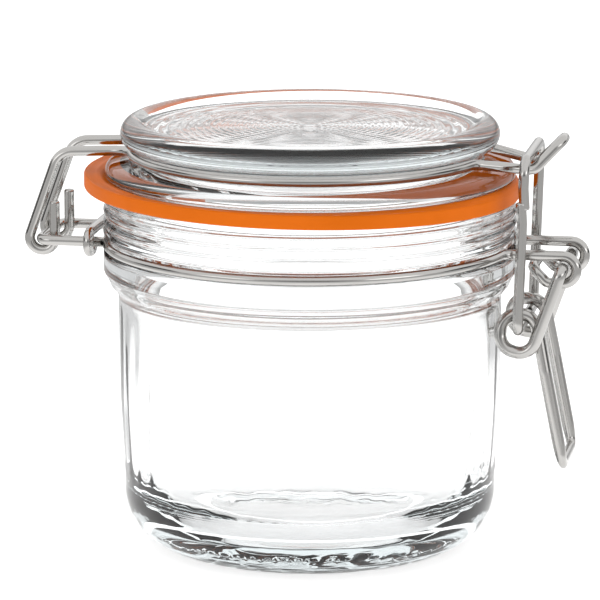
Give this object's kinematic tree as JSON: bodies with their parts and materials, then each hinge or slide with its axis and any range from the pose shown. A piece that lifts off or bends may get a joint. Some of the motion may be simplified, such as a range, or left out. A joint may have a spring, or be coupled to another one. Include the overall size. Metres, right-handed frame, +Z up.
{
  "type": "lidded glass canister",
  "caption": "Squat clip-top glass canister: glass lid on a flat rubber ring, hinged on a wire belt and drawn down by an over-centre wire latch.",
  "frame": {"origin": "centre of the foot that the closed jar stands on, at the height of the table", "axes": "+Z up along the jar's axis, +X from the hinge towards the latch, Y along the hinge and latch axes"},
  "size_m": [0.1294, 0.1, 0.0996],
  "materials": {
    "jar_glass": "clear pressed glass with faint mould waviness",
    "lid_glass": "clear pressed glass with fine concentric rings",
    "orange_rubber": "satin moulded orange rubber",
    "steel_wire": "bright drawn stainless wire",
    "lever_wire": "bright drawn stainless wire, slightly thicker"
  },
  "bodies": {
    "jar": {"glass_jar": "jar_glass", "neck_wire": "steel_wire"},
    "lid": {"glass_lid": "lid_glass", "rubber_gasket": "orange_rubber", "lid_wire": "steel_wire"},
    "lever": {"lever": "lever_wire"},
    "link": {"link": "steel_wire"}
  },
  "joints": [
    {"name": "lid_hinge", "type": "hinge", "parent": "jar", "child": "lid", "pos_m": [-0.0614, 0, 0.0709], "axis": [0, -1, 0], "range_deg": [0, 110]},
    {"name": "lever_pivot", "type": "hinge", "parent": "jar", "child": "lever", "pos_m": [0.0595, 0, 0.06805], "axis": [0, -1, 0], "range_deg": [0, 110]},
    {"name": "link_swing", "type": "hinge", "parent": "lever", "child": "link", "pos_m": [0.05005, 0, 0.05425], "axis": [0, -1, 0], "range_deg": [-286, 0]}
  ],
  "couplings": [
    {"joint": "lever_pivot", "follows": "lid_hinge", "ratio": 1},
    {"joint": "link_swing", "follows": "lid_hinge", "ratio": -2.6}
  ]
}
